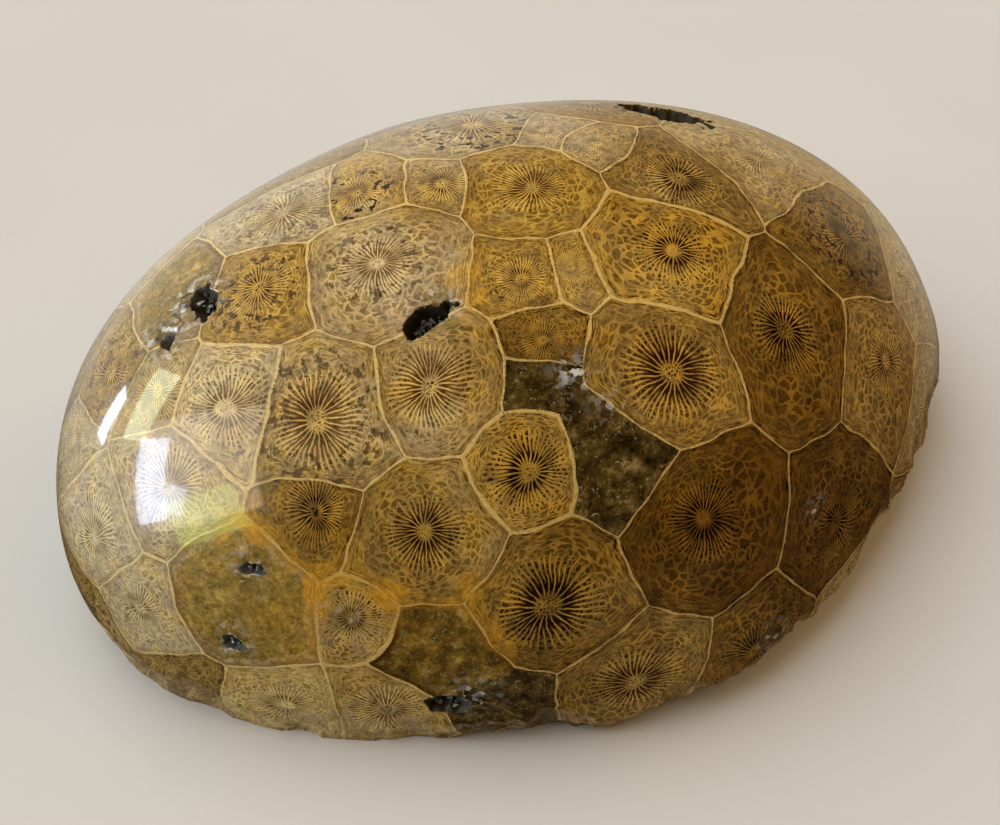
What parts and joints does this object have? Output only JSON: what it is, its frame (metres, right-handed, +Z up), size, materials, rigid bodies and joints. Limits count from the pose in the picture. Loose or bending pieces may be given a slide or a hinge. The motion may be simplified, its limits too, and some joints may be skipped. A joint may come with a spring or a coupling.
{
  "type": "fossil coral head",
  "caption": "Polished dome of fossil colonial coral with many-sided corallites, a broken rim and a flat ground base that it rests on.",
  "frame": {"origin": "on the plane of the ground base, under the middle of the bounding box", "axes": "+X along the length towards the end where the rim is highest, +Z up out of the dome, -Y the side that shows the most corallites"},
  "size_m": [0.119, 0.085, 0.046],
  "materials": {
    "polished_coral": "polished fossil limestone, rough and unpolished below the rim"
  },
  "bodies": {
    "root": {"coral_head": "polished_coral"}
  },
  "joints": []
}
